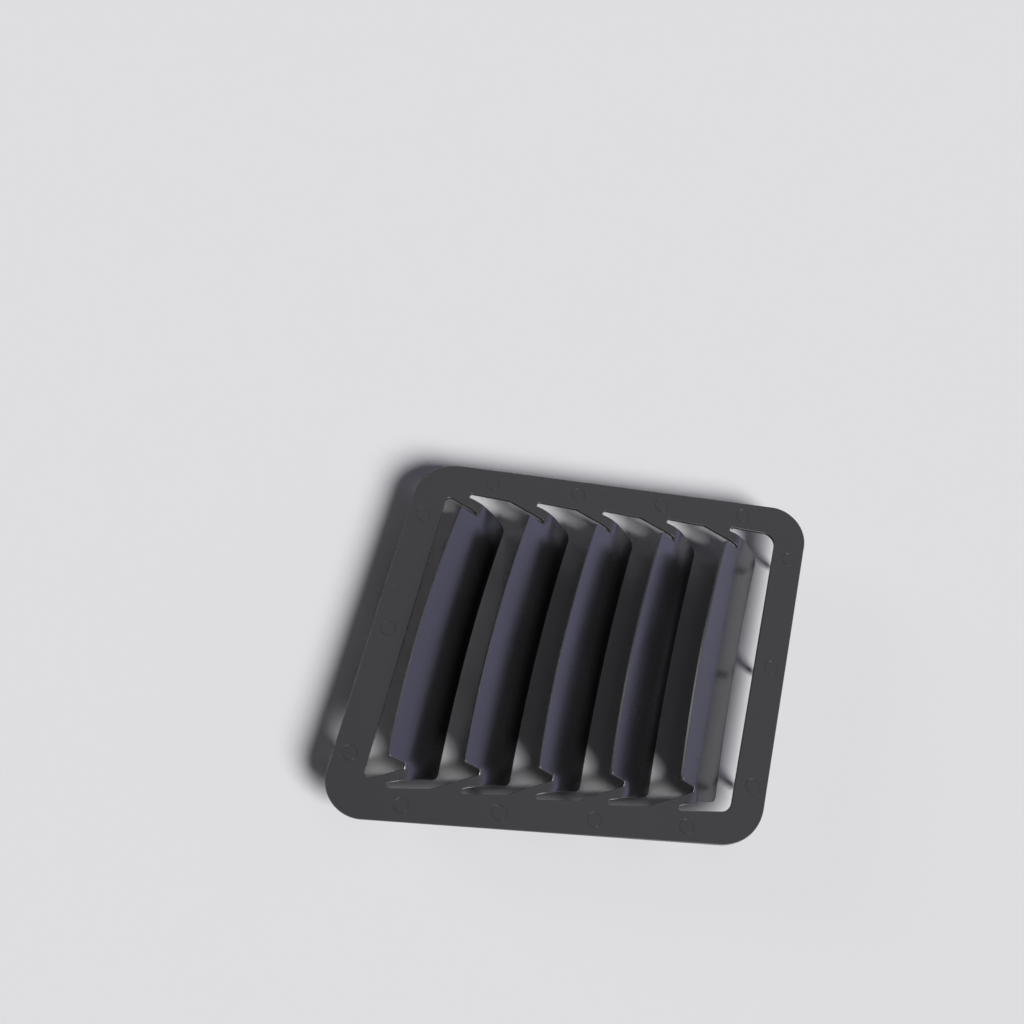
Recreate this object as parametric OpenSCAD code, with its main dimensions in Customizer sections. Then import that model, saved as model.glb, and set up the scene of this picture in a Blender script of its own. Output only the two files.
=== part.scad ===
// Hood louver panel: one cut sheet whose five blades are pressed out of the sheet itself, with
// flush-head studs clinched into its flange.
// X runs across the blades, Y along them and Z out of the bonnet. The origin is the centre of
// the flange's underside, the face that lies on the bonnet.

/* [Panel] */
// Width of the panel, across the blades
panel_w = 245; // [204:1:300]
// Length of each side edge, along the blades
panel_h = 223; // [180:1:280]
// Lean of the two end edges, in degrees
lean = 11.25; // [0:0.25:16]
// Thickness of the sheet
sheet_t = 2; // [1.6:0.1:2.4]
// Radius of the two blunt corners
blunt_r = 28; // [10:0.5:34]
// Radius of the two sharp corners
sharp_r = 21; // [10:0.5:26]

/* [Window] */
// Width of the flange along the sides
side_flange = 19.5; // [17:0.5:24]
// Width of the flange along the ends, square to the edge
end_flange = 17.8; // [17:0.2:24]
// Distance from the window's side to the first blade's necks
first_lead = 19.4; // [18:0.1:24]
// Extra width of the last opening
last_gap = 2.8; // [0:0.2:8]
// Radius of the two window corners beside the first blade
first_corner_r = 3; // [1:0.5:5]
// Radius of the two window corners beside the last blade
last_corner_r = 7; // [2:0.5:9]

/* [Slots and necks] */
// Width of the slot that frees each end of a blade
slot_w = 2.9; // [2:0.1:4]
// Run of the slot from its round end to the point where it turns inwards
slot_run = 23.2; // [16:0.2:26]
// How far the slot's outer edge has come in at that point
slot_drop = 1.4; // [0:0.1:2.4]
// Width of the neck that carries each end of a blade
neck_w = 8.8; // [6:0.2:12]
// Width of the notch between the neck and the lip
notch_w = 3.1; // [2:0.1:4]
// Middle radius of the bend in the neck
neck_bend_r = 17; // [12:0.5:22]

/* [Blades] */
// Number of blades
blade_n = 5; // [3:1:6]
// Width of the lip in front of the necks, at its ends
lip_w = 12.3; // [10:0.1:14]
// Slope of the lip, in degrees
lip_slope = 36; // [30:1:42]
// Middle radius of the curve in which the body turns down
body_r = 110; // [80:5:200]
// How far the cut between two blades bows forward at the middle
edge_bow = 4.2; // [0:0.1:6]
// Width of the cut between two blades
blade_cut = 1.5; // [0.5:0.1:2.5]
// Inward slope of the body's ends, in degrees
end_taper = 17; // [8:1:22]
// Radius of the lip's corners
lip_corner_r = 2.2; // [0.5:0.1:4]
// Radius of the body's rear corners
rear_corner_r = 6; // [2:0.5:8]

/* [Studs] */
// Number of studs along each end
end_stud_n = 4; // [2:1:5]
// Number of studs along each side
side_stud_n = 3; // [2:1:4]
// Distance of the end rows' outer studs from the panel's sides
end_stud_inset = 43.5; // [36:0.5:56]
// Distance of the side rows' outer studs from the ends of the side edge
side_stud_inset = 36.3; // [32:0.5:56]
// Distance of every stud's axis from the edge beside it
stud_edge = 9; // [8:0.1:10]
// Diameter of the stud's head
head_d = 8.2; // [7:0.1:9]
// Thickness of the stud's head
head_h = 1.2; // [0.8:0.1:1.4]
// Diameter of the stud's shank
shank_d = 5; // [4:0.5:6]
// Height of the ribs that bite into the sheet round the shank
rib_h = 0.3; // [0.2:0.05:0.5]
// Length of the chamfer on the shank's tip
tip_h = 0.8; // [0.4:0.1:1.2]
// Reach of the shank below the flange
stud_reach = 14; // [8:0.5:16]
// Gap round a stud's head and ribs
stud_gap = 0.05; // [0.02:0.01:0.1]

/* [Hidden] */
$fn = 180;
coat = [0.16, 0.16, 0.17];
arc_steps = 8;
bow_steps = 16;
kink_r = 3;
past = 1;
seam = 0.05;
half_w = panel_w / 2;
half_h = panel_h / 2;
window_x = half_w - side_flange;
pitch = (2 * window_x - last_gap) / blade_n;
neck_x = [for (i = [0 : blade_n - 1]) first_lead - window_x + i * pitch];

// Heights above the leaning centre line, from the flange inwards
slot_out = half_h - end_flange / cos(lean);
slot_in = slot_out - slot_w;
notch_out = slot_in - neck_w;
blade_half = notch_out - notch_w;
split_y = notch_out - notch_w / 2;

// The cuts of a neck and its body overlap short of the plane where the sections change
neck_start = split_y - past / 2;
body_end = split_y - past / 4;

// The neck bends down from root_x and meets the body's curve at join_slope
body_centre = [-body_r * sin(lip_slope), -body_r * cos(lip_slope)];
centre_gap = body_r - neck_bend_r;
root_x = sqrt(pow(centre_gap, 2) - pow(body_centre[1] + neck_bend_r, 2)) + body_centre[0];
join_slope = asin((root_x - body_centre[0]) / centre_gap);
join_x = root_x + neck_bend_r * sin(join_slope);
kink_x = root_x + slot_run;

// The tongue that carries a neck ends a little before the bend
tongue_x = root_x - past / 2;
back_x = tongue_x - past;

// The body fills what the lip and the cut leave of the pitch
body_w = pitch - blade_cut - lip_w;
body_turn = body_w / body_r * 180 / PI;
chord_slope = lip_slope + body_turn / 2;
chord_w = 2 * body_r * sin(body_turn / 2);
join_turn = join_slope - lip_slope;
join_chord = 2 * body_r * sin(join_turn / 2) * cos((body_turn - join_turn) / 2);
block_h = 8 * sheet_t;

// Height that the lean adds at a distance across the panel
function rise(x) = x * tan(lean);

// A point given by its distance across and its height above (1) or below (-1) the centre line
function leant(side, x, v) = [x, side * v + rise(x)];

// Inner edge of the flange between a slot's kink and the next notch, x measured from that notch
ramp = (slot_out - slot_drop - notch_out) / (pitch - kink_x);
function ramp_v(x) = notch_out - ramp * x;

// Outer edge of a slot, x measured from the slot's own necks
function slot_v(x) = slot_out - slot_drop * (x - root_x) / slot_run;

// Inner edge of a neck, set in from the tongue's corner by a seam
function neck_v(x) = ramp_v(x) + seam * x / tongue_x;

// End edge of a neck and its blade's body
function end_v(x) = slot_in - tan(end_taper) * (x - root_x);

function unit(v) = v / norm(v);
function polar(r, a) = [r * cos(a), r * sin(a)];
function heading(v) = atan2(v[1], v[0]);

// Points of an outline whose corners [x, y, radius] become arcs
function rounded(path) = [
    for (i = [0 : len(path) - 1])
        let (n = len(path), p = path[i], a = path[(i + n - 1) % n], b = path[(i + 1) % n])
            each corner([a[0], a[1]], [p[0], p[1]], [b[0], b[1]], p[2])
];
function corner(a, p, b, r) = is_undef(r) ? [p] :
    let (
        u = unit(a - p),
        v = unit(b - p),
        half = acos(u * v) / 2,
        centre = p + unit(u + v) * r / sin(half),
        steps = max(arc_steps, ceil(r)),
        start = heading(p + u * r / tan(half) - centre),
        turn = (heading(p + v * r / tan(half) - centre) - start + 540) % 360 - 180
    )
    [for (k = [0 : steps]) centre + polar(r, start + turn * k / steps)];

module panel_outline() {
    polygon(rounded([
        concat(leant(1, -half_w, half_h), blunt_r),
        concat(leant(1, half_w, half_h), sharp_r),
        concat(leant(-1, half_w, half_h), blunt_r),
        concat(leant(-1, -half_w, half_h), sharp_r)
    ]));
}

// Round corner at the closed end of a slot
function slot_end(side, x) = [
    for (k = [0 : arc_steps])
        let (p = polar(slot_w / 2, 180 - 90 * k / arc_steps))
            leant(side, x + slot_w / 2 + p[0], slot_out - slot_w / 2 + p[1])
];

// One end of the window from the first corner to the last: tongues, slots and kinks in turn
function window_end(side) = [
    concat(leant(side, -window_x, ramp_v(-window_x - neck_x[0])), first_corner_r),
    for (i = [0 : blade_n - 1])
        each [
            leant(side, neck_x[i] + tongue_x, ramp_v(tongue_x)),
            each slot_end(side, neck_x[i] + tongue_x),
            if (i < blade_n - 1) concat(leant(side, neck_x[i] + kink_x, slot_v(kink_x)), kink_r)
        ],
    concat(leant(side, window_x, slot_v(window_x - neck_x[blade_n - 1])), last_corner_r)
];
function turned(list) = [for (i = [len(list) - 1 : -1 : 0]) list[i]];

module window() {
    polygon(rounded(concat(window_end(1), turned(window_end(-1)))));
}

module flange() {
    linear_extrude(sheet_t)
        difference() {
            panel_outline();
            window();
        }
}

// The lip is flat and rises in front of the necks, with a bowed front edge
function bow(y) = edge_bow * (1 - pow(y / blade_half, 2));
front_edge = [
    for (k = [0 : bow_steps])
        let (y = blade_half * (2 * k / bow_steps - 1))
            k % bow_steps == 0 ? [-lip_w - bow(y), y, lip_corner_r] : [-lip_w - bow(y), y]
];

module lip_cut() {
    rotate([0, lip_slope, 0])
        linear_extrude(block_h, center = true)
            polygon(rounded(concat([[past, -blade_half]], front_edge, [[past, blade_half]])));
}

// The body's rear edge is the other side of the cut along the next blade's lip
function rear_y(side) = side * end_v(chord_w) + rise(chord_w);
rear_edge = [
    for (k = [0 : bow_steps])
        let (
            y = rear_y(-1) + (rear_y(1) - rear_y(-1)) * k / bow_steps,
            x = chord_w - bow(y - rise(pitch))
        )
            k % bow_steps == 0 ? [x, y, rear_corner_r] : [x, y]
];
function join_y(side) = side * end_v(join_x) + rise(join_x);

module body_cut() {
    rotate([0, chord_slope, 0])
        linear_extrude(block_h, center = true)
            polygon(rounded(concat(
                [[0, -body_end], [join_chord, -body_end], [join_chord, join_y(-1)]],
                rear_edge,
                [[join_chord, join_y(1)], [join_chord, body_end], [0, body_end]]
            )));
}

// A neck runs into the flange's tongue
module neck_cut(side) {
    far_x = join_x + sheet_t;
    linear_extrude(block_h, center = true)
        polygon([
            leant(side, back_x, neck_v(back_x)),
            [0, side * notch_out],
            [0, side * neck_start],
            [far_x, side * neck_start],
            leant(side, far_x, end_v(far_x)),
            leant(side, back_x, end_v(back_x))
        ]);
}

// Direction at right angles to a slope, in the section across a blade
function square_to(slope) = [sin(slope), cos(slope)];

// All that lies under one face of the sheet, in the section across the middle of a blade
module middle_form(grow) {
    touch = body_centre + (body_r + grow) * square_to(lip_slope);
    translate(body_centre)
        circle(r = body_r + grow);
    polygon([body_centre, touch, touch + 2 * lip_w * [-cos(lip_slope), sin(lip_slope)]]);
}

// The same in the section through the necks
module end_form(grow) {
    translate([root_x, -neck_bend_r])
        circle(r = neck_bend_r + grow);
    translate([root_x - 2 * past, -neck_bend_r])
        square([2 * past, neck_bend_r + grow]);
    intersection() {
        translate(body_centre)
            circle(r = body_r + grow);
        translate(body_centre)
            polygon(2 * body_r * [[0, 0], square_to(join_slope), square_to(join_slope + 90)]);
    }
}

module pressed_sheet() {
    rotate([90, 0, 0])
        linear_extrude(2 * (split_y + past), center = true)
            difference() {
                middle_form(sheet_t / 2);
                middle_form(-sheet_t / 2);
            }
    reach = neck_w + notch_w + past;
    for (side = [1, -1])
        translate([0, side * (split_y + reach / 2), 0])
            rotate([90, 0, 0])
                linear_extrude(reach, center = true)
                    difference() {
                        end_form(sheet_t / 2);
                        end_form(-sheet_t / 2);
                    }
}

module blade() {
    intersection() {
        pressed_sheet();
        union() {
            lip_cut();
            body_cut();
            neck_cut(1);
            neck_cut(-1);
        }
    }
}

// Places of the studs, in a row along each end and each side of the flange
end_row_x = half_w - end_stud_inset;
end_row_v = half_h - stud_edge / cos(lean);
side_row_v = half_h - side_stud_inset;
side_row_x = half_w - stud_edge;
stud_places = [
    for (side = [1, -1])
        each [
            for (k = [0 : end_stud_n - 1])
                leant(side, end_row_x * (2 * k / (end_stud_n - 1) - 1), end_row_v),
            for (k = [0 : side_stud_n - 1])
                leant(1, side * side_row_x, side_row_v * (2 * k / (side_stud_n - 1) - 1))
        ]
];

// The head's underside, the shank and its ribs, which end level with the flange's underside
under_head = sheet_t - head_h;
head_r = head_d / 2;
shank_r = shank_d / 2;
rib_r = shank_r + rib_h;

module stud() {
    rotate_extrude()
        polygon([
            [0, -stud_reach],
            [shank_r - tip_h, -stud_reach],
            [shank_r, tip_h - stud_reach],
            [shank_r, 0],
            [rib_r, 0],
            [rib_r, under_head],
            [head_r, under_head],
            [head_r, sheet_t],
            [0, sheet_t]
        ]);
}

// The seat cut for a stud, open above the head and below the ribs
module stud_seat() {
    rotate_extrude()
        polygon([
            [0, -past],
            [rib_r + stud_gap, -past],
            [rib_r + stud_gap, under_head],
            [head_r + stud_gap, under_head],
            [head_r + stud_gap, sheet_t + past],
            [0, sheet_t + past]
        ]);
}

module louver_panel() {
    color(coat)
        difference() {
            union() {
                flange();
                for (x = neck_x)
                    translate([x, rise(x), sheet_t / 2])
                        blade();
            }
            for (place = stud_places)
                translate(place)
                    stud_seat();
        }
}

module flush_studs() {
    color(coat)
        for (place = stud_places)
            translate(place)
                stud();
}

louver_panel();
flush_studs();
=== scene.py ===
import math

import bpy
import numpy as np
from mathutils.geometry import delaunay_2d_cdt
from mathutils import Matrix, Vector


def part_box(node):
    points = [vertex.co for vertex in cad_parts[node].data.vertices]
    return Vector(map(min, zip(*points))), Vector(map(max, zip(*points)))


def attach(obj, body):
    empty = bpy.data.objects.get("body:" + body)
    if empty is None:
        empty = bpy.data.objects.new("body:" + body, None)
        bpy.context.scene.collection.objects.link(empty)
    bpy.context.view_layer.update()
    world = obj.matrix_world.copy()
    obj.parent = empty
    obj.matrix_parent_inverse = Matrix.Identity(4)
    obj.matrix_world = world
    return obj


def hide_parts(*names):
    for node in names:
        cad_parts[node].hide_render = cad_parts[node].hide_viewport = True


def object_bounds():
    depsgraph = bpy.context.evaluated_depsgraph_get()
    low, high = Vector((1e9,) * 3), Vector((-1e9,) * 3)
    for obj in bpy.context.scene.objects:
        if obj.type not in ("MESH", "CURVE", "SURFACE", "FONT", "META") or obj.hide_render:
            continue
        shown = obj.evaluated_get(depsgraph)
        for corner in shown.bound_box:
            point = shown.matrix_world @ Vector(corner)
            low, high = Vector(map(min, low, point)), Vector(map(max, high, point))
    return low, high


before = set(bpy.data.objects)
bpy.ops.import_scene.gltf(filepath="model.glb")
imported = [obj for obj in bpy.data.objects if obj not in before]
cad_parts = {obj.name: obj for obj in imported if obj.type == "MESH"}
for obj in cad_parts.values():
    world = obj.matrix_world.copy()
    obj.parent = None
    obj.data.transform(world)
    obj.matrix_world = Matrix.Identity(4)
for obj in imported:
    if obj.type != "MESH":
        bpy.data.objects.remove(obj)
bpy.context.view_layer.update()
mm = 0.001


# Shared effect: the fine orange peel and the drifting sheen of a sprayed coat.
# It puts out a normal, a roughness and a mask of dust specks.

def coat_effect():
    group = bpy.data.node_groups.new("sprayed_coat", "ShaderNodeTree")
    for name, value in {"Peel depth": 0.00002, "Roughness": 0.4}.items():
        socket = group.interface.new_socket(name, in_out="INPUT", socket_type="NodeSocketFloat")
        socket.default_value = value
    for name, kind in {"Normal": "Vector", "Roughness": "Float", "Dust": "Float"}.items():
        group.interface.new_socket(name, in_out="OUTPUT", socket_type="NodeSocket" + kind)
    nodes, links = group.nodes, group.links
    given = nodes.new("NodeGroupInput")
    result = nodes.new("NodeGroupOutput")
    place = nodes.new("ShaderNodeTexCoord")

    def noise(per_metre, detail):
        node = nodes.new("ShaderNodeTexNoise")
        node.inputs["Scale"].default_value = per_metre
        node.inputs["Detail"].default_value = detail
        links.new(place.outputs["Object"], node.inputs["Vector"])
        return node.outputs["Fac"]

    def about_zero(value, most):
        node = nodes.new("ShaderNodeMapRange")
        node.inputs["To Min"].default_value = -most
        node.inputs["To Max"].default_value = most
        links.new(value, node.inputs["Value"])
        return node.outputs["Result"]

    def combined(operation, first, second):
        node = nodes.new("ShaderNodeMath")
        node.operation = operation
        links.new(first, node.inputs[0])
        links.new(second, node.inputs[1])
        return node

    peel = noise(620, 2)
    drift = noise(22, 5)
    grain = noise(2600, 1)

    bump = nodes.new("ShaderNodeBump")
    links.new(given.outputs["Peel depth"], bump.inputs["Distance"])
    links.new(peel, bump.inputs["Height"])
    links.new(bump.outputs["Normal"], result.inputs["Normal"])

    uneven = combined("ADD", about_zero(drift, 0.07), about_zero(grain, 0.03))
    sheen = combined("ADD", given.outputs["Roughness"], uneven.outputs["Value"])
    sheen.use_clamp = True
    links.new(sheen.outputs["Value"], result.inputs["Roughness"])

    specks = nodes.new("ShaderNodeTexVoronoi")
    specks.inputs["Scale"].default_value = 170
    links.new(place.outputs["Object"], specks.inputs["Vector"])
    small = nodes.new("ShaderNodeMapRange")
    for name, value in {"From Min": 0.02, "From Max": 0.05, "To Min": 1, "To Max": 0}.items():
        small.inputs[name].default_value = value
    links.new(specks.outputs["Distance"], small.inputs["Value"])
    tint = nodes.new("ShaderNodeSeparateColor")
    links.new(specks.outputs["Color"], tint.inputs["Color"])
    rare = nodes.new("ShaderNodeMath")
    rare.operation = "GREATER_THAN"
    rare.inputs[1].default_value = 0.8
    links.new(tint.outputs["Red"], rare.inputs[0])
    dust = combined("MULTIPLY", small.outputs["Result"], rare.outputs["Value"])
    links.new(dust.outputs["Value"], result.inputs["Dust"])
    return group


sprayed_coat = coat_effect()


# Louvered sheet: one 2 mm sheet of metal, cut and pressed, with its cut edges eased and the whole
# of it sprayed black. The flange is flat but for slight draws round the studs, the lips stand up in
# front of the necks, and the blades' bodies curve down behind them.

half_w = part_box("louver_panel")[1][0] / mm
lean = math.radians(11.25)
lean_slope = math.tan(lean)
half_h = 111.5
sheet_t = 2.0
blunt_r = 28.0
sharp_r = 21.0
window_x = half_w - 19.5
first_lead = 19.4
last_gap = 2.8
first_corner_r = 3.0
last_corner_r = 7.0
slot_w = 2.9
slot_run = 23.2
slot_drop = 1.4
neck_w = 8.8
notch_w = 3.1
neck_bend_r = 17.0
blade_n = 5
lip_w = 12.3
lip_slope = math.radians(36)
body_r = 110.0
edge_bow = 4.2
blade_cut = 1.5
end_taper = math.radians(17)
lip_corner_r = 2.0
rear_corner_r = 4.6
edge_r = 0.42
seat_r = 4.15
seat_depth = 1.2
seat_edge_r = 0.16
rib_seat_r = 2.85
seat_chamfer = 0.2
notch_corner_r = 0.5
kink_r = 3.0
tongue_back = 0.5
stud_draw = 0.07
stud_draw_spread = 2.6
flange_wave = 0.05
step_spread = 1.3
form_margin = 2.0

pitch = (2 * window_x - last_gap) / blade_n
neck_x = [first_lead - window_x + i * pitch for i in range(blade_n)]
slot_out = half_h - 17.8 / math.cos(lean)
slot_in = slot_out - slot_w
notch_out = slot_in - neck_w
blade_half = notch_out - notch_w
body_x = -body_r * math.sin(lip_slope)
body_z = -body_r * math.cos(lip_slope)
root_x = math.sqrt((body_r - neck_bend_r) ** 2 - (body_z + neck_bend_r) ** 2) + body_x
join_x = root_x + neck_bend_r * (root_x - body_x) / (body_r - neck_bend_r)
tongue_x = root_x - tongue_back
kink_x = root_x + slot_run
ramp = (slot_out - slot_drop - notch_out) / (pitch - kink_x)
body_w = pitch - blade_cut - lip_w

stud_inset_x = 43.5
stud_inset_y = 36.3
stud_edge = 9.0
end_stud_n = 4
side_stud_n = 3

arc_side = 1.2
rim_side = 3.0
gap_side = 2.0
edge_steps = 24
slot_steps = 8
seat_sides = 40
blade_rows = (1.15, 3.0)
flange_grid = 4.4
stud_rings = (5.0, 6.0, 7.2, 9.0)
ring_sides = 32
clear_of_stud = 10.5
clear_of_edge = 0.75


def rise(x):
    return x * lean_slope


def bow(y):
    return edge_bow * (1 - (y / blade_half) ** 2)


def lip_x(y):
    """Front edge of a lip, seen from above."""
    return -(lip_w + bow(y)) * math.cos(lip_slope)


def rear_x(y):
    """Rear edge of a body, seen from above: its arc of radius body_r ends body_w - bow(y) along."""
    return body_x + body_r * np.sin(lip_slope + (body_w - bow(y - rise(pitch))) / body_r)


def end_v(x):
    return slot_in - math.tan(end_taper) * (x - root_x)


def ramp_v(x):
    return notch_out - ramp * x


def slot_v(x):
    return slot_out - slot_drop * (x - root_x) / slot_run


def stud_places():
    """Axis of every stud: a row along each end and each side of the flange."""
    places = []
    row_x = half_w - stud_inset_x
    row_v = half_h - stud_edge / math.cos(lean)
    side_v = half_h - stud_inset_y
    side_x = half_w - stud_edge
    for side in (1, -1):
        for k in range(end_stud_n):
            x = row_x * (2 * k / (end_stud_n - 1) - 1)
            places.append((x, side * row_v + rise(x)))
        for k in range(side_stud_n):
            x = side * side_x
            places.append((x, side_v * (2 * k / (side_stud_n - 1) - 1) + rise(x)))
    return np.array(places)


def smooth_step(t):
    t = np.clip(t, 0, 1)
    return t * t * (3 - 2 * t)


def height(x, y):
    """Middle of the sheet as a height over (x, y).

    Flange: sheet_t / 2 less a draw round each stud, stud_draw * exp(-((d - seat_r) / spread)^2),
    and a faint unevenness, flange_wave * sin(x / 19) * sin(y / 23).
    Blade, x from its necks: a plane -x tan(lip_slope) in front, an arc of radius body_r behind.
    Necks: level to root_x, then an arc of radius neck_bend_r down to the body's arc at join_x.
    A smooth step across the notch mixes blade and neck, and widens behind the notch.
    """
    z = np.full_like(x, sheet_t / 2)
    for px, py in stud_places():
        d = np.hypot(x - px, y - py)
        z -= stud_draw * np.exp(-((np.maximum(d - seat_r, 0) / stud_draw_spread) ** 2))
    z += flange_wave * np.sin(x / 19.0 + 0.7) * np.sin(y / 23.0 + 0.4)
    for i, cx in enumerate(neck_x):
        u = x - cx
        v = y - rise(cx)
        arc = body_z + np.sqrt(np.maximum(body_r**2 - (u - body_x) ** 2, 0))
        blade = np.where(u < 0, -u * math.tan(lip_slope), arc)
        bend = np.sqrt(np.maximum(neck_bend_r**2 - (u - root_x) ** 2, 0)) - neck_bend_r
        neck = np.where(u < root_x, 0.0, np.where(u < join_x, bend, arc))
        half_step = notch_w / 2 + step_spread * np.maximum(u, 0)
        mix = smooth_step((np.abs(v) - (blade_half + notch_w / 2)) / (2 * half_step) + 0.5)
        form = (1 - mix) * blade + mix * neck
        outer = end_v(u) + slot_w / 2
        beside = np.abs(v - rise(u)) < outer
        before_notch = np.abs(v) < blade_half + notch_w / 2
        in_front = (u < root_x) & before_notch & (u > lip_x(v) - form_margin)
        behind = (u >= root_x) & beside & (u < rear_x(v) + form_margin)
        z = np.where(in_front | behind, z + form, z)
    return z


def surface(x, y):
    """Middle point and unit normal of the sheet over (x, y), by central differences."""
    step = 0.02
    z = height(x, y)
    zx = (height(x + step, y) - height(x - step, y)) / (2 * step)
    zy = (height(x, y + step) - height(x, y - step)) / (2 * step)
    normal = np.stack([-zx, -zy, np.ones_like(zx)], 1)
    normal /= np.linalg.norm(normal, axis=1)[:, None]
    return np.stack([x, y, z], 1), normal


def rounded(path):
    """Closed outline whose corners [x, y, radius] become arcs."""
    points = []
    for i, corner in enumerate(path):
        p = np.array(corner[:2])
        if len(corner) == 2:
            points.append(p)
            continue
        a = np.array(path[i - 1][:2]) - p
        b = np.array(path[(i + 1) % len(path)][:2]) - p
        a /= np.linalg.norm(a)
        b /= np.linalg.norm(b)
        half = math.acos(float(a @ b)) / 2
        r = corner[2]
        middle = p + (a + b) / np.linalg.norm(a + b) * r / math.sin(half)
        first = p + a * r / math.tan(half) - middle
        last = p + b * r / math.tan(half) - middle
        start = math.atan2(first[1], first[0])
        turn = (math.atan2(last[1], last[0]) - start + 3 * math.pi) % (2 * math.pi) - math.pi
        steps = max(5, math.ceil(abs(turn) * r / arc_side))
        for k in range(steps + 1):
            t = start + turn * k / steps
            points.append(middle + r * np.array([math.cos(t), math.sin(t)]))
    return np.array(points)


def spaced(points, longest):
    """The same closed outline with no side longer than longest."""
    made = []
    for p, q in zip(points, np.roll(points, -1, 0)):
        parts = max(1, math.ceil(np.linalg.norm(q - p) / longest))
        made += [p + (q - p) * k / parts for k in range(parts)]
    return np.array(made)


def leant(side, x, v, *radius):
    return [x, side * v + rise(x), *radius]


def gap_end(gap, side):
    """End of the gap in front of blade number gap, from its rear corner on the left to the lip."""
    path = []
    if gap == 0:
        path.append(leant(side, -window_x, ramp_v(-window_x - neck_x[0]), first_corner_r))
    else:
        cx = neck_x[gap - 1]
        near_x = rear_x(side * blade_half)
        corner_x = float(rear_x(side * end_v(near_x) + rise(near_x)))
        path.append(leant(side, cx + corner_x, end_v(corner_x), rear_corner_r))
        path.append(leant(side, cx + root_x, slot_in))
        path.append(leant(side, cx + tongue_x, end_v(tongue_x)))
        for k in range(slot_steps + 1):
            t = math.radians(180 - 90 * k / slot_steps)
            x = cx + tongue_x + slot_w / 2 * (1 + math.cos(t))
            path.append(leant(side, x, slot_out - slot_w / 2 * (1 - math.sin(t))))
        if gap < blade_n:
            path.append(leant(side, cx + kink_x, slot_v(kink_x), kink_r))
        else:
            path.append(leant(side, window_x, slot_v(window_x - cx), last_corner_r))
    if gap < blade_n:
        cx = neck_x[gap]
        path.append(leant(side, cx + tongue_x, ramp_v(tongue_x)))
        path.append(leant(side, cx, notch_out, notch_corner_r))
        path.append(leant(side, cx, blade_half, notch_corner_r))
        path.append([cx + lip_x(blade_half), side * blade_half + rise(cx), lip_corner_r])
    return path


def gap_outline(gap):
    upper = gap_end(gap, 1)
    lower = gap_end(gap, -1)
    path = list(upper)
    if gap < blade_n:
        cx = neck_x[gap]
        for k in range(1, edge_steps):
            y = blade_half * (1 - 2 * k / edge_steps)
            path.append([cx + float(lip_x(y)), y + rise(cx)])
    path += lower[::-1]
    if gap > 0:
        cx = neck_x[gap - 1]
        low = lower[0][1] - rise(cx)
        high = upper[0][1] - rise(cx)
        for k in range(1, edge_steps):
            y = low + (high - low) * k / edge_steps
            path.append([cx + float(rear_x(y)), y + rise(cx)])
    return spaced(rounded(path), gap_side)


def inside(x, y, outline):
    """True where (x, y) lies inside a closed outline, by counting crossings."""
    result = np.zeros(x.shape, bool)
    for (ax, ay), (bx, by) in zip(outline, np.roll(outline, -1, 0)):
        spans = (ay > y) != (by > y)
        if ay != by:
            result ^= spans & (x < (bx - ax) * (y - ay) / (by - ay) + ax)
    return result


def distance_to(x, y, outline):
    """Distance from each (x, y) to a closed outline."""
    best = np.full(x.shape, 1e9)
    for a, b in zip(outline, np.roll(outline, -1, 0)):
        side = b - a
        t = np.clip(((x - a[0]) * side[0] + (y - a[1]) * side[1]) / (side @ side), 0, 1)
        best = np.minimum(best, np.hypot(x - a[0] - t * side[0], y - a[1] - t * side[1]))
    return best


def inner_points(outlines):
    """Points between outlines: rows over the blades, a grid over the flange, rings round studs."""
    sets = []
    over_x = np.arange(-15, 23, blade_rows[0])
    along_y = np.arange(-100, 100, blade_rows[1])
    for cx in neck_x:
        u, v = np.meshgrid(over_x, along_y, indexing="ij")
        sets.append(np.stack([cx + u.ravel(), rise(cx) + v.ravel()], 1))
    grid_x = np.arange(-121, 122, flange_grid)
    grid_y = np.arange(-131, 132, flange_grid)
    gx, gy = np.meshgrid(grid_x, grid_y, indexing="ij")
    grid = np.stack([gx.ravel(), gy.ravel()], 1)
    for px, py in stud_places():
        grid = grid[np.hypot(grid[:, 0] - px, grid[:, 1] - py) > clear_of_stud]
        t = np.linspace(0, 2 * math.pi, ring_sides, endpoint=False)
        for r in stud_rings:
            sets.append(np.stack([px + r * np.cos(t), py + r * np.sin(t)], 1))
    on_blades = np.zeros(len(grid), bool)
    for cx in neck_x:
        across = np.abs(grid[:, 0] - cx - 4) < 19
        on_blades |= across & (np.abs(grid[:, 1] - rise(cx)) < 97)
    sets.append(grid[~on_blades])
    points = np.concatenate(sets)
    x, y = points.T
    keep = inside(x, y, outlines[0])
    for outline in outlines:
        keep &= distance_to(x, y, outline) > clear_of_edge
    for outline in outlines[1:]:
        keep &= ~inside(x, y, outline)
    return points[keep]


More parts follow.
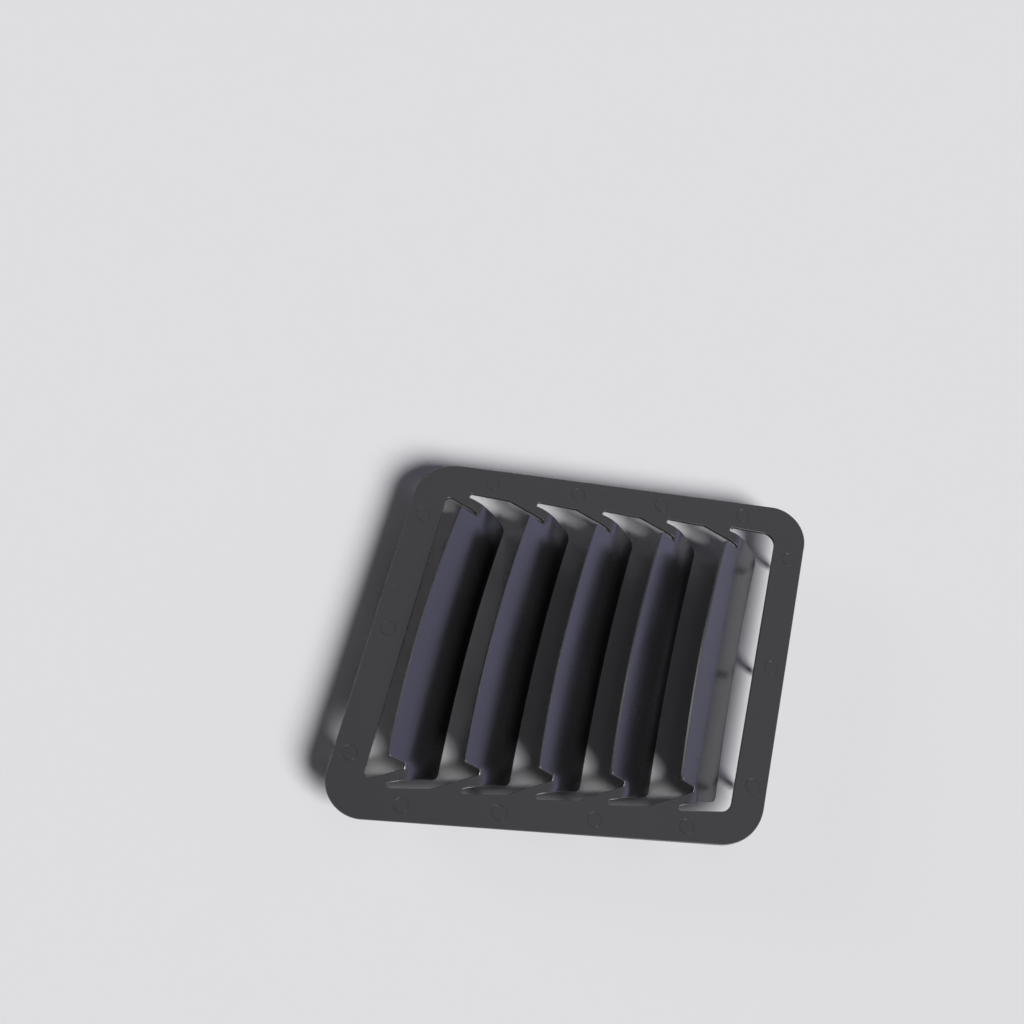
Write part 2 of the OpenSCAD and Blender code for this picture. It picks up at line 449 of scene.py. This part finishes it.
def sheet_mesh():
    """Both faces of the sheet at half its thickness along the normal, joined round every edge.

    Edge: rows at angle a from each face's normal, n (t/2 - r + r sin a) + b (r cos a - r).
    Seats: each stud's hole has a shelf that narrows it to the shank below the head.
    """
    corners = [
        leant(1, -half_w, half_h, blunt_r),
        leant(1, half_w, half_h, sharp_r),
        leant(-1, half_w, half_h, blunt_r),
        leant(-1, -half_w, half_h, sharp_r),
    ]
    outlines = [spaced(rounded(corners), rim_side)]
    outlines += [gap_outline(gap) for gap in range(blade_n + 1)]
    first_seat = len(outlines)
    t = np.linspace(0, 2 * math.pi, seat_sides, endpoint=False)
    seat_ring = seat_r * np.stack([np.cos(t), np.sin(t)], 1)
    seats = stud_places()
    outlines += [seat_ring + place for place in seats]

    rim = np.concatenate(outlines)
    points = np.concatenate([rim, inner_points(outlines)])
    sides, start = [], 0
    for outline in outlines:
        n = len(outline)
        sides += [(start + k, start + (k + 1) % n) for k in range(n)]
        start += n
    flat_points = [tuple(p) for p in points]
    flat, _, faces, from_point, _, _ = delaunay_2d_cdt(flat_points, sides, [], 0, 1e-5)
    if len(flat) != len(points):
        raise ValueError("an outline crosses itself or another")
    order = np.array([f[0] for f in from_point])
    faces = order[np.array([list(f) for f in faces])]
    middle = points[faces].mean(1)
    keep = inside(middle[:, 0], middle[:, 1], outlines[0])
    for outline in outlines[1:]:
        keep &= ~inside(middle[:, 0], middle[:, 1], outline)
    faces = faces[keep]

    base, normal = surface(points[:, 0], points[:, 1])
    outward = np.zeros_like(base)
    ease = np.zeros(len(base))
    start = 0
    for number, outline in enumerate(outlines):
        n = len(outline)
        rows = start + np.arange(n)
        ease[rows] = edge_r if number < first_seat else seat_edge_r
        along = np.roll(base[rows], -1, 0) - np.roll(base[rows], 1, 0)
        across = np.cross(along, normal[rows])
        across /= np.linalg.norm(across, axis=1)[:, None]
        probe = points[rows] + 0.3 * across[:, :2]
        beyond = ~inside(probe[:, 0], probe[:, 1], outlines[0])
        for hole in outlines[1:]:
            beyond |= inside(probe[:, 0], probe[:, 1], hole)
        outward[rows] = across * (1 if beyond.mean() > 0.5 else -1)
        start += n

    count = len(points)
    half_t = sheet_t / 2
    inset = base - outward * ease[:, None]
    parts = [inset + normal * half_t, inset - normal * half_t]
    normals = [normal, -normal]
    edge_mask = [np.zeros(count), np.zeros(count)]
    loops = [faces, faces[:, ::-1] + count]
    used = 2 * count
    edges = []
    start = 0
    for number, outline in enumerate(outlines):
        n = len(outline)
        rows = start + np.arange(n)
        start += n
        seat = number >= first_seat
        r = seat_edge_r if seat else edge_r
        flat_t = half_t - r
        angles = [90, 60, 30, 0] if not seat else [90, 45, 0]
        rings = [rows]
        for angle in angles[1:]:
            s, c = math.sin(math.radians(angle)), math.cos(math.radians(angle))
            parts.append(inset[rows] + normal[rows] * (flat_t + r * s) + outward[rows] * r * c)
            normals.append(normal[rows] * s + outward[rows] * c)
            edge_mask.append(np.ones(n))
            rings.append(used + np.arange(n))
            used += n
        if seat:
            px, py = seats[number - first_seat]
            way = (base[rows] - [px, py, 0])[:, :2] / seat_r
            top = base[rows][:, 2].mean() + half_t
            shelf = top - seat_depth
            foot = base[rows][:, 2].mean() - half_t
            for ring_r, z, out, up in (
                (seat_r, shelf, -1, 0),
                (seat_r, shelf, 0, 1),
                (rib_seat_r, shelf, 0, 1),
                (rib_seat_r, shelf, -1, 0),
                (rib_seat_r, foot + seat_chamfer, -1, 0),
                (rib_seat_r + seat_chamfer, foot, 0, -1),
            ):
                parts.append(np.column_stack([ring_r * way + [px, py], np.full(n, z)]))
                normals.append(np.column_stack([out * way, np.full(n, float(up))]))
                edge_mask.append(np.zeros(n))
                rings.append(used + np.arange(n))
                used += n
        else:
            for angle in (0, 30, 60):
                s, c = math.sin(math.radians(angle)), math.cos(math.radians(angle))
                parts.append(inset[rows] - normal[rows] * (flat_t + r * s) + outward[rows] * r * c)
                normals.append(outward[rows] * c - normal[rows] * s)
                edge_mask.append(np.ones(n))
                rings.append(used + np.arange(n))
                used += n
        rings.append(rows + count)
        edges.append(rings)

    verts = np.concatenate(parts)
    quads = []
    for rings in edges:
        for upper, lower in zip(rings, rings[1:]):
            quads.append(np.column_stack([upper, np.roll(upper, -1), np.roll(lower, -1), lower]))
    polygon_sets = [np.concatenate(loops), np.concatenate(quads)]
    return verts, np.concatenate(normals), polygon_sets, {"edge": np.concatenate(edge_mask)}


def facing(verts, normals, polys):
    """Turns each polygon round where its own normal points against its corners' normals."""
    a = verts[polys[:, 0]]
    across = np.cross(verts[polys[:, 1]] - a, verts[polys[:, 2]] - a)
    if polys.shape[1] == 4:
        across += np.cross(verts[polys[:, 2]] - a, verts[polys[:, 3]] - a)
    against = (across * normals[polys].sum(1)).sum(1) < 0
    polys = polys.copy()
    polys[against] = polys[against][:, ::-1]
    return polys


def new_object(name, verts, normals, polygon_sets, masks):
    """An object at the origin from millimetre vertices, its own corner normals and point masks."""
    mesh = bpy.data.meshes.new(name)
    sets = [facing(verts, normals, polys) for polys in polygon_sets]
    sizes = np.concatenate([np.full(len(p), p.shape[1]) for p in sets])
    corners = np.concatenate([p.ravel() for p in sets])
    mesh.vertices.add(len(verts))
    mesh.vertices.foreach_set("co", (verts * mm).astype(np.float32).ravel())
    mesh.loops.add(len(corners))
    mesh.loops.foreach_set("vertex_index", corners.astype(np.int32))
    mesh.polygons.add(len(sizes))
    mesh.polygons.foreach_set("loop_start", (np.cumsum(sizes) - sizes).astype(np.int32))
    mesh.polygons.foreach_set("loop_total", sizes.astype(np.int32))
    mesh.update(calc_edges=True)
    mesh.validate()
    mesh.polygons.foreach_set("use_smooth", np.ones(len(mesh.polygons), bool))
    mesh.normals_split_custom_set_from_vertices(normals.tolist())
    for mask, values in masks.items():
        layer = mesh.attributes.new(mask, "FLOAT", "POINT")
        layer.data.foreach_set("value", values.astype(np.float32))
    obj = bpy.data.objects.new(name, mesh)
    bpy.context.collection.objects.link(obj)
    return obj


def black_coat(name, peel_depth, roughness):
    """Black sprayed metal: lighter grey along its eased edges, partly wear and partly a painted
    highlight of the cut edges, with drifting sheen and dust.
    """
    material = bpy.data.materials.new(name)
    material.use_nodes = True
    nodes, links = material.node_tree.nodes, material.node_tree.links
    shader = nodes["Principled BSDF"]
    coat = nodes.new("ShaderNodeGroup")
    coat.node_tree = sprayed_coat
    coat.inputs["Peel depth"].default_value = peel_depth
    coat.inputs["Roughness"].default_value = roughness
    links.new(coat.outputs["Normal"], shader.inputs["Normal"])
    links.new(coat.outputs["Roughness"], shader.inputs["Roughness"])
    edge = nodes.new("ShaderNodeAttribute")
    edge.attribute_name = "edge"
    # Eased edges turn lighter grey: partly wear of the coat, partly a painted highlight standing in
    # for the bright line along the cut edges.
    edge_wear_and_highlight = nodes.new("ShaderNodeMix")
    edge_wear_and_highlight.data_type = "RGBA"
    edge_wear_and_highlight.inputs["A"].default_value = (0.007, 0.0068, 0.0075, 1)
    edge_wear_and_highlight.inputs["B"].default_value = (0.022, 0.021, 0.021, 1)
    links.new(edge.outputs["Fac"], edge_wear_and_highlight.inputs["Factor"])
    dusty = nodes.new("ShaderNodeMix")
    dusty.data_type = "RGBA"
    dusty.inputs["B"].default_value = (0.12, 0.115, 0.11, 1)
    links.new(coat.outputs["Dust"], dusty.inputs["Factor"])
    links.new(edge_wear_and_highlight.outputs["Result"], dusty.inputs["A"])
    links.new(dusty.outputs["Result"], shader.inputs["Base Color"])
    shader.inputs["IOR"].default_value = 1.58
    return material


sheet = new_object("louvered_sheet", *sheet_mesh())
sheet.data.materials.append(black_coat("sheet_coat", 0.000012, 0.26))
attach(sheet, "root")
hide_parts("louver_panel")


# Flush-head studs: round heads clinched level with the flange and sprayed with it, a ribbed collar
# that bites into the sheet, and below it a plain shoulder and a plated thread with a chamfered tip.

head_r = 4.1
head_h = 1.2
head_bevel = 0.12
collar_r = 2.8
shank_r = 2.5
shoulder = 0.8
thread_pitch = 0.8
thread_depth = 0.46
flank_lean = 0.75
stud_reach = 14.0
tip_h = 0.8
centre_r = 0.02
core_r = 0.05
thread_ease = 0.02
stud_turns = 28
thread_rows = 4


def lathe(profile, count):
    """Rings of count points at each (radius, z) of the profile, with its own normals."""
    t = np.linspace(0, 2 * math.pi, count, endpoint=False)
    ring = np.stack([np.cos(t), np.sin(t)], 1)
    verts, normals, quads = [], [], []
    for k, (r, z, out, up) in enumerate(profile):
        verts.append(np.column_stack([r * ring, np.full(count, z)]))
        normals.append(np.column_stack([out * ring, np.full(count, float(up))]))
        if k:
            a = (k - 1) * count + np.arange(count)
            quads.append(np.column_stack([a, np.roll(a, -1), np.roll(a, -1) + count, a + count]))
    return np.concatenate(verts), np.concatenate(normals), np.concatenate(quads)


def thread_mesh(top, bottom):
    """Thread as a sheared grid: z = top - pitch (k / rows + a / 2 pi), radius from its row.

    Row 0 is the crest, row rows / 2 the root; the tip's chamfer caps the radius. The normal leans
    along the shank by flank_lean * sin(2 pi k / rows), so the flanks face up and down in turn.
    """
    total = int((top - bottom) / thread_pitch * thread_rows) + 2 * thread_rows
    k, j = np.meshgrid(np.arange(total), np.arange(stud_turns), indexing="ij")
    angle = 2 * math.pi * j / stud_turns
    z = top + thread_pitch - thread_pitch * (k / thread_rows + j / stud_turns)
    phase = (k % thread_rows) / thread_rows
    r = shank_r - thread_ease - thread_depth * (1 - np.abs(2 * phase - 1))
    r = np.minimum(r, shank_r - tip_h + (z - bottom))
    r = np.where(z > top, shank_r, np.maximum(r, core_r))
    z = np.clip(z, bottom, top)
    verts = np.stack([r * np.cos(angle), r * np.sin(angle), z], -1).reshape(-1, 3)
    dip = flank_lean * np.sin(2 * math.pi * phase)
    out = np.sqrt(1 - dip**2)
    normals = np.stack([out * np.cos(angle), out * np.sin(angle), -dip], -1).reshape(-1, 3)
    index = k * stud_turns + j
    right = np.where(j == stud_turns - 1, (k + thread_rows) * stud_turns, index + 1)
    limit = total * stud_turns
    upper, beside = index[:-1], right[:-1]
    quads = np.stack([upper, beside, beside + stud_turns, index[1:]], -1).reshape(-1, 4)
    quads = quads[(quads < limit).all(1)]
    return verts, normals, quads


def stud_parts():
    """One stud: its head and shoulder, and its thread, as (verts, normals, quads) each."""
    top = sheet_t
    profile = [
        (centre_r, top, 0, 1),
        (2.0, top, 0, 1),
        (head_r - head_bevel, top, 0, 1),
        (head_r - head_bevel / 3, top - head_bevel / 3, 0.7, 0.7),
        (head_r, top - head_bevel, 1, 0),
        (head_r, top - head_h, 1, 0),
        (head_r, top - head_h, 0, -1),
        (collar_r, top - head_h, 0, -1),
        (collar_r, top - head_h, 1, 0),
        (collar_r, 0.0, 1, 0),
        (collar_r, 0.0, 0, -1),
        (shank_r, 0.0, 0, -1),
        (shank_r, 0.0, 1, 0),
        (shank_r, -shoulder, 1, 0),
    ]
    head = lathe(profile, seat_sides)
    thread = thread_mesh(-shoulder, -stud_reach)
    cap_profile = [(r, -stud_reach, 0, -1) for r in (shank_r - tip_h, centre_r)]
    return head, thread, lathe(cap_profile, stud_turns)


def stud_group():
    head, thread, cap = stud_parts()
    verts, normals, quads, plated = [], [], [], []
    used = 0
    for px, py in stud_places():
        for number, (v, n, q) in enumerate((head, thread, cap)):
            verts.append(v + [px, py, 0])
            normals.append(n)
            quads.append(q + used)
            plated.append(np.full(len(q), 1 if number else 0))
            used += len(v)
    return [np.concatenate(part) for part in (verts, normals, quads, plated)]


def zinc_plate():
    """Bright zinc plating: pale grey metal whose tone and roughness vary in clouds."""
    material = bpy.data.materials.new("stud_plating")
    material.use_nodes = True
    nodes, links = material.node_tree.nodes, material.node_tree.links
    shader = nodes["Principled BSDF"]
    shader.inputs["Metallic"].default_value = 1
    place = nodes.new("ShaderNodeTexCoord")
    cloud = nodes.new("ShaderNodeTexNoise")
    cloud.inputs["Scale"].default_value = 380
    cloud.inputs["Detail"].default_value = 4
    links.new(place.outputs["Object"], cloud.inputs["Vector"])
    tone = nodes.new("ShaderNodeMix")
    tone.data_type = "RGBA"
    tone.inputs["A"].default_value = (0.38, 0.38, 0.37, 1)
    tone.inputs["B"].default_value = (0.62, 0.62, 0.6, 1)
    links.new(cloud.outputs["Fac"], tone.inputs["Factor"])
    links.new(tone.outputs["Result"], shader.inputs["Base Color"])
    rough = nodes.new("ShaderNodeMapRange")
    rough.inputs["To Min"].default_value = 0.28
    rough.inputs["To Max"].default_value = 0.52
    links.new(cloud.outputs["Fac"], rough.inputs["Value"])
    links.new(rough.outputs["Result"], shader.inputs["Roughness"])
    bump = nodes.new("ShaderNodeBump")
    bump.inputs["Distance"].default_value = 0.00001
    links.new(cloud.outputs["Fac"], bump.inputs["Height"])
    links.new(bump.outputs["Normal"], shader.inputs["Normal"])
    return material


stud_verts, stud_normals, stud_quads, stud_plated = stud_group()
no_edge = {"edge": np.zeros(len(stud_verts))}
studs = new_object("clinched_studs", stud_verts, stud_normals, [stud_quads], no_edge)
studs.data.materials.append(black_coat("stud_head_coat", 0.000012, 0.24))
studs.data.materials.append(zinc_plate())
studs.data.polygons.foreach_set("material_index", stud_plated.astype(np.int32))
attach(studs, "root")
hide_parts("flush_studs")


# Stage: a plain pale floor that the blades' trailing edges rest on, against a pale backdrop. A wide
# soft key lamp stands to the right, with weak ones overhead, behind the blades and before the lips.

floor_size = 6.0
floor_mesh = bpy.data.meshes.new("floor")
floor_z = float(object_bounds()[0][2])
half = floor_size / 2
floor_mesh.from_pydata(
    [(x * half, y * half, floor_z) for x, y in ((-1, -1), (1, -1), (1, 1), (-1, 1))],
    [],
    [(0, 1, 2, 3)],
)
floor = bpy.data.objects.new("floor", floor_mesh)
bpy.context.collection.objects.link(floor)
floor_paint = bpy.data.materials.new("floor_paint")
floor_paint.use_nodes = True
floor_shader = floor_paint.node_tree.nodes["Principled BSDF"]
floor_shader.inputs["Base Color"].default_value = (0.78, 0.78, 0.8, 1)
floor_shader.inputs["Roughness"].default_value = 0.9
floor_shader.inputs["Specular IOR Level"].default_value = 0
floor.data.materials.append(floor_paint)

world = bpy.data.worlds.new("studio")
world.use_nodes = True
sky_nodes, sky_links = world.node_tree.nodes, world.node_tree.links
fill = sky_nodes["Background"]
fill.inputs["Color"].default_value = (0.86, 0.88, 0.92, 1)
fill.inputs["Strength"].default_value = 0.035
backdrop = sky_nodes.new("ShaderNodeBackground")
backdrop.inputs["Color"].default_value = (0.785, 0.77, 0.81, 1)
ray = sky_nodes.new("ShaderNodeLightPath")
shown = ray.outputs["Is Camera Ray"]
for kind in ("Is Glossy Ray", "Is Transmission Ray"):
    either_ray = sky_nodes.new("ShaderNodeMath")
    either_ray.operation = "MAXIMUM"
    sky_links.new(shown, either_ray.inputs[0])
    sky_links.new(ray.outputs[kind], either_ray.inputs[1])
    shown = either_ray.outputs["Value"]
either = sky_nodes.new("ShaderNodeMixShader")
sky_links.new(shown, either.inputs["Fac"])
sky_links.new(fill.outputs["Background"], either.inputs[1])
sky_links.new(backdrop.outputs["Background"], either.inputs[2])
sky_links.new(either.outputs["Shader"], sky_nodes["World Output"].inputs["Surface"])
bpy.context.scene.world = world


def soft_lamp(name, bearing, elevation, width, strength, color):
    """A wide far lamp: bearing from +X towards +Y, elevation and apparent width in degrees."""
    lamp = bpy.data.lights.new(name, "SUN")
    lamp.angle = math.radians(width)
    lamp.energy = strength
    lamp.color = color
    obj = bpy.data.objects.new(name, lamp)
    obj.rotation_euler = (0, math.radians(90 - elevation), math.radians(bearing))
    bpy.context.collection.objects.link(obj)


soft_lamp("key", -34, 40, 28, 4.2, (1, 0.99, 0.98))
soft_lamp("overhead", 66, 64, 38, 0.06, (0.93, 0.8, 1))
soft_lamp("behind_blades", 22, 11, 40, 0.34, (0.36, 0.37, 1))
soft_lamp("before_lips", 165, 9, 18, 0.6, (1, 0.97, 0.95))


# Camera: above and in front of the panel's lower left, as in the photograph.

camera = bpy.data.cameras.new("camera")
camera.sensor_width = 36
camera.lens = 33.7
camera.shift_y = 0.167
camera.clip_start = 0.01
camera_object = bpy.data.objects.new("camera", camera)
camera_object.location = (-0.0908, -0.2137, 0.5163)
camera_object.rotation_euler = [math.radians(a) for a in (17.255, -10.447, 13.739)]
bpy.context.collection.objects.link(camera_object)
bpy.context.scene.camera = camera_object
bpy.context.scene.view_settings.view_transform = "Standard"
